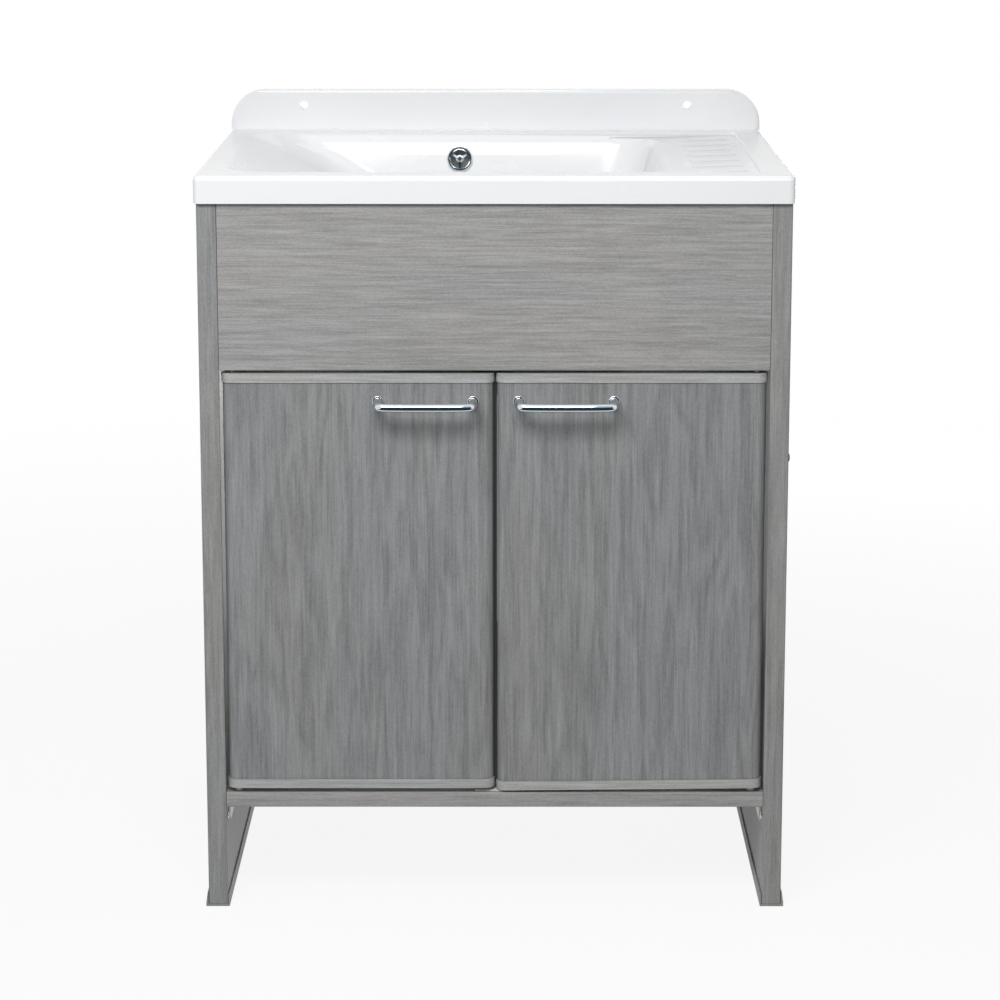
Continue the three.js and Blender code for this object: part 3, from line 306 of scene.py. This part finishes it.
FINISHES = {
    "basin_resin": plastic_finish("basin_resin", (0.81, 0.82, 0.832), 0.26, grain=0.04, coat=0.2),
    "side_film": wood_finish("side_film", (0.25, 0.25, 0.246), "Z", figure=0.6, shift=(1.3, 0.4, 0.2)),
    "front_film": wood_finish("front_film", (0.3, 0.298, 0.291), "X", figure=0.5),
    "door_film": wood_finish("door_film", (0.23, 0.234, 0.236), "Z", figure=1.3),
    "trim_film": wood_finish("trim_film", (0.37, 0.37, 0.365), "X", figure=0.2, shift=(0.7, 0, 0.3)),
    "handle_chrome": metal_finish("handle_chrome", (0.68, 0.71, 0.74), 0.07),
    "steel": metal_finish("steel", (0.55, 0.56, 0.57), 0.32, brushed=0.3),
    "white_fitting": plastic_finish("white_fitting", (0.74, 0.74, 0.72), 0.38, grain=0.15),
    "grey_hose": plastic_finish("grey_hose", (0.5, 0.51, 0.52), 0.45, grain=0.2),
    "black_rubber": plastic_finish("black_rubber", (0.022, 0.022, 0.023), 0.65, grain=0.5),
}


# ---------------------------------------------------------------- studio


def is_seen_directly(tree):
    """1 for camera, glossy and transmission rays."""
    path = add_node(tree, "ShaderNodeLightPath")
    seen = math_node(tree, "MAXIMUM", path.outputs["Is Camera Ray"], path.outputs["Is Glossy Ray"])
    return math_node(tree, "MAXIMUM", seen, path.outputs["Is Transmission Ray"])


def add_world(level):
    """White where it is seen, and a plain soft light on everything else."""
    world = bpy.data.worlds.new("studio")
    world.use_nodes = True
    tree = world.node_tree
    background = tree.nodes["Background"]
    background.inputs["Color"].default_value = (1, 1, 1, 1)
    strength = add_node(tree, "ShaderNodeMapRange", values={"To Min": level, "To Max": 1.0})
    link(tree, is_seen_directly(tree), strength.inputs["Value"])
    link(tree, strength.outputs["Result"], background.inputs["Strength"])
    bpy.context.scene.world = world


def add_floor():
    """A pale floor that reads as white and keeps a soft shadow."""
    bpy.ops.mesh.primitive_plane_add(size=60, location=(0, 0, -0.0005))
    floor = bpy.context.object
    floor.name = "studio_floor"
    paper = bpy.data.materials.new("floor_paper")
    paper.use_nodes = True
    tree = paper.node_tree
    tree.nodes.remove(tree.nodes["Principled BSDF"])
    matte = add_node(tree, "ShaderNodeBsdfDiffuse", values={"Color": (0.8, 0.8, 0.8, 1)})
    glow = add_node(tree, "ShaderNodeEmission", values={"Color": (1, 1, 1, 1), "Strength": 1.0})
    mix = add_node(tree, "ShaderNodeMixShader")
    away = add_node(tree, "ShaderNodeVectorMath", {"operation": "LENGTH"})
    link(tree, add_node(tree, "ShaderNodeTexCoord").outputs["Object"], away.inputs[0])
    white_share = ramp(tree, away.outputs["Value"], 0.5, 3.0, 0.9, 1.0)
    link(tree, math_node(tree, "MULTIPLY", is_seen_directly(tree), white_share), mix.inputs[0])
    link(tree, matte.outputs[0], mix.inputs[1])
    link(tree, glow.outputs[0], mix.inputs[2])
    link(tree, mix.outputs[0], tree.nodes["Material Output"].inputs["Surface"])
    floor.data.materials.append(paper)


def add_dark_card(name, place, turn, size, color):
    """A dark card that only reflections show, so that chrome has something to reflect."""
    bpy.ops.mesh.primitive_plane_add(size=1, location=place, rotation=turn)
    card = bpy.context.object
    card.name = name
    card.scale = (*size, 1)
    paint = bpy.data.materials.new(name + "_paint")
    paint.use_nodes = True
    tree = paint.node_tree
    tree.nodes.remove(tree.nodes["Principled BSDF"])
    glow = add_node(tree, "ShaderNodeEmission", values={"Color": rgba(color), "Strength": 1.0})
    link(tree, glow.outputs[0], tree.nodes["Material Output"].inputs["Surface"])
    card.data.materials.append(paint)
    card.visible_camera = False
    card.visible_diffuse = False
    card.visible_shadow = False


add_camera()
add_world(0.27)
add_floor()
add_softbox("key", (-0.35, -1.7, 1.85), (0, 0, 0.75), (1.3, 0.7), 36)
add_softbox("top", (0, 0.1, 2.3), (0, 0, 0.76), (1.4, 1.0), 3.5)
add_softbox("rear", (0.9, 2.4, 0.3), (0, 0, 0.4), (1.6, 0.6), 20)
add_dark_card("card_front", (0.25, -1.5, 0.55), (radians(90), 0, 0), (2.2, 1.3), (0.02, 0.06, 0.085))
add_dark_card("card_low", (0.25, -1.1, 0.02), (0, 0, 0), (2.0, 1.2), (0.02, 0.04, 0.06))
add_dark_card("card_top", (0.2, -1.6, 2.9), (0, 0, 0), (3.0, 0.5), (0.03, 0.04, 0.05))
bpy.context.scene.view_settings.view_transform = "Standard"


# ---------------------------------------------------------------- finished copies of CAD nodes


def body_of_node(name):
    return next(body for body, members in frame["record"]["behaviour"]["bodies"].items() if name in members)


def slot_of_node(name):
    return next(part["material_slot"] for part in frame["record"]["subparts"] if part["node"] == name)


def finish_of_node(name):
    """The finish that a node's surface has. Boards take theirs by the way their grain runs."""
    if name.startswith("side_panel"):
        return "side_film"
    if name in ("fascia", "bottom_shelf", "rear_top_rail", "rear_bottom_rail"):
        return "front_film"
    if name.startswith("foot_strip"):
        return "side_film"
    return slot_of_node(name)


def smooth_copy(name, angle=35):
    """A merged, smoothly shaded copy that stands for a node."""
    original = NODES[name]
    piece = original.copy()
    piece.data = original.data.copy()
    piece.name = name + "_finished"
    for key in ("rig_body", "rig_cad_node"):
        del piece[key]
    piece.parent = None
    bpy.context.scene.collection.objects.link(piece)
    bpy.ops.object.select_all(action="DESELECT")
    piece.select_set(True)
    bpy.context.view_layer.objects.active = piece
    bpy.ops.object.mode_set(mode="EDIT")
    bpy.ops.mesh.select_all(action="SELECT")
    bpy.ops.mesh.remove_doubles(threshold=0.00001)
    bpy.ops.mesh.dissolve_limited(angle_limit=radians(0.05))
    bpy.ops.object.mode_set(mode="OBJECT")
    bpy.ops.object.shade_smooth_by_angle(angle=radians(angle))
    weigh = piece.modifiers.new("weighted_normals", "WEIGHTED_NORMAL")
    weigh.keep_sharp = True
    piece.data.materials.clear()
    piece.data.materials.append(FINISHES[finish_of_node(name)])
    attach(piece, body_of_node(name))
    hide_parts(name)
    piece.select_set(False)
    return piece


FLAT_NODES = ("angle", "door_catch", "door_stop", "strike_plate", "rear_top_rail", "rear_bottom_rail")

NEW_FORMS = ("handle_left", "handle_right")

for name, original in NODES.items():
    if name in NEW_FORMS:
        continue
    if any(word in name for word in FLAT_NODES):
        original.data.materials.clear()
        original.data.materials.append(FINISHES[finish_of_node(name)])
    else:
        smooth_copy(name)


# ---------------------------------------------------------------- trims and small fasteners


def finish_piece(piece, name, body, slot, finish=None, angle=35):
    """Names a new piece, applies its transform, smooths it and gives it a body, slot and finish."""
    bpy.ops.object.select_all(action="DESELECT")
    piece.select_set(True)
    bpy.context.view_layer.objects.active = piece
    bpy.ops.object.transform_apply(location=True, rotation=True, scale=True)
    bpy.ops.object.shade_smooth_by_angle(angle=radians(angle))
    piece.name = name
    piece.data.name = name
    piece.data.materials.clear()
    piece.data.materials.append(FINISHES[finish or slot])
    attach(piece, body)
    piece.select_set(False)
    return piece


def apply_bevel(piece, width, segments=2):
    bpy.context.view_layer.objects.active = piece
    bevel = piece.modifiers.new("bevel", "BEVEL")
    bevel.width = width
    bevel.segments = segments
    bpy.ops.object.modifier_apply(modifier="bevel")


def add_box(low, high, bevel=0.0):
    """A box between two corners."""
    low, high = Vector(low), Vector(high)
    bpy.ops.mesh.primitive_cube_add(size=1, location=(low + high) / 2)
    piece = bpy.context.object
    piece.scale = high - low
    bpy.ops.object.transform_apply(location=True, rotation=True, scale=True)
    if bevel:
        apply_bevel(piece, bevel)
    return piece


BAR_RADIUS = 4.4 * MM
COLLAR_RADIUS = 6.0 * MM
COLLAR_DEPTH = 3.0 * MM
BAR_DROP = 1.4 * MM


def add_handle(side):
    """A bow handle swept along its path, with a turned collar at each foot."""
    node = f"handle_{side}"
    low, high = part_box(node)
    left, right = low.x + COLLAR_RADIUS + 0.2 * MM, high.x - COLLAR_RADIUS - 0.2 * MM
    foot_z = high.z - COLLAR_RADIUS - 0.2 * MM
    bar_z = foot_z - BAR_DROP
    front = low.y + BAR_RADIUS + 0.3 * MM
    half = [
        (left, high.y, foot_z), (left, high.y - 8 * MM, foot_z), (left, front + 9 * MM, foot_z),
        (left + 1 * MM, front + 2.5 * MM, bar_z), (left + 9 * MM, front + 1.2 * MM, bar_z),
        (left + 24 * MM, front, bar_z),
    ]
    mirrored = [(left + right - x, y, z) for x, y, z in reversed(half)]
    path = bpy.data.curves.new(node + "_path", "CURVE")
    path.dimensions = "3D"
    path.bevel_depth = BAR_RADIUS
    path.bevel_resolution = 10
    path.resolution_u = 16
    spline = path.splines.new("NURBS")
    spline.points.add(len(half) * 2 - 1)
    for point, place in zip(spline.points, half + mirrored):
        point.co = (*place, 1.0)
    spline.order_u = 4
    spline.use_endpoint_u = True
    bar = bpy.data.objects.new(node + "_bar", path)
    bpy.context.scene.collection.objects.link(bar)
    bpy.ops.object.select_all(action="DESELECT")
    bar.select_set(True)
    bpy.context.view_layer.objects.active = bar
    bpy.ops.object.convert(target="MESH")
    parts = [bpy.context.object]
    for x in (left, right):
        bpy.ops.mesh.primitive_cylinder_add(
            vertices=48, radius=COLLAR_RADIUS, depth=COLLAR_DEPTH,
            location=(x, high.y - COLLAR_DEPTH / 2, foot_z), rotation=(radians(90), 0, 0),
        )
        collar = bpy.context.object
        apply_bevel(collar, 1.0 * MM, 4)
        parts.append(collar)
    bpy.ops.object.select_all(action="DESELECT")
    for part in parts:
        part.select_set(True)
    bpy.context.view_layer.objects.active = parts[0]
    bpy.ops.object.join()
    handle = finish_piece(bpy.context.object, node + "_finished", f"{side}_door", "handle_chrome", angle=50)
    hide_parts(node)


# Depth of the black strip of painted shade in the door gap.
GAP_SHADE_STRIP_DEPTH = 0.8 * MM


def add_painted_gap_shade_strip():
    """A black strip on the left door's closing edge, in the gap between the doors: painted shade that stands for
    the dark inside of the cabinet.
    """
    left_low, left_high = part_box("door_panel_left")
    right_low, right_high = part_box("door_panel_right")
    middle = (left_low.y + left_high.y) / 2
    low = (left_high.x - 0.2 * MM, middle, left_low.z + 1 * MM)
    high = (right_low.x - 0.1 * MM, middle + GAP_SHADE_STRIP_DEPTH, left_high.z - 1 * MM)
    # The strip is painted shade, given the black rubber finish.
    finish_piece(add_box(low, high), "painted_gap_shade_strip", "left_door", "black_rubber")


SCREW_RADIUS = 3.2 * MM
STRIP_THICKNESS = 2 * MM


def add_screw(name, place, direction, body="cabinet"):
    """A pan head with a square socket, seated at a place and facing a direction."""
    bpy.ops.mesh.primitive_cylinder_add(vertices=32, radius=SCREW_RADIUS, depth=2 * MM)
    head = bpy.context.object
    apply_bevel(head, 0.8 * MM, 3)
    bpy.ops.mesh.primitive_cylinder_add(vertices=4, radius=1.5 * MM, depth=2 * MM, location=(0, 0, 0.6 * MM))
    socket = bpy.context.object
    cut = head.modifiers.new("socket", "BOOLEAN")
    cut.object = socket
    bpy.context.view_layer.objects.active = head
    bpy.ops.object.modifier_apply(modifier="socket")
    bpy.data.objects.remove(socket)
    direction = Vector(direction)
    head.rotation_euler = direction.to_track_quat("Z", "Y").to_euler()
    head.location = Vector(place) + direction * 0.9 * MM
    finish_piece(head, name, body, "steel")


def add_strip_screws(node, places):
    """Screws through a strip's flange into the side panel, along its length."""
    low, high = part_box(node)
    left = node.endswith("left")
    x = low.x + STRIP_THICKNESS if left else high.x - STRIP_THICKNESS
    along_y = high.y - low.y > high.z - low.z
    middle = (low + high) / 2
    for number, share in enumerate(places, 1):
        point = low.lerp(high, share)
        place = (x, point.y if along_y else middle.y, middle.z if along_y else point.z)
        add_screw(f"{node}_screw_{number}", place, (1 if left else -1, 0, 0))


# Painted shade: a black strip in the gap between the doors.
add_painted_gap_shade_strip()
for side in ("left", "right"):
    add_handle(side)
    add_strip_screws(f"shelf_angle_{side}", (0.12, 0.5, 0.88))
    add_strip_screws(f"fascia_angle_{side}", (0.2, 0.8))
    add_strip_screws(f"rear_angle_{side}", (0.06, 0.35, 0.65, 0.94))
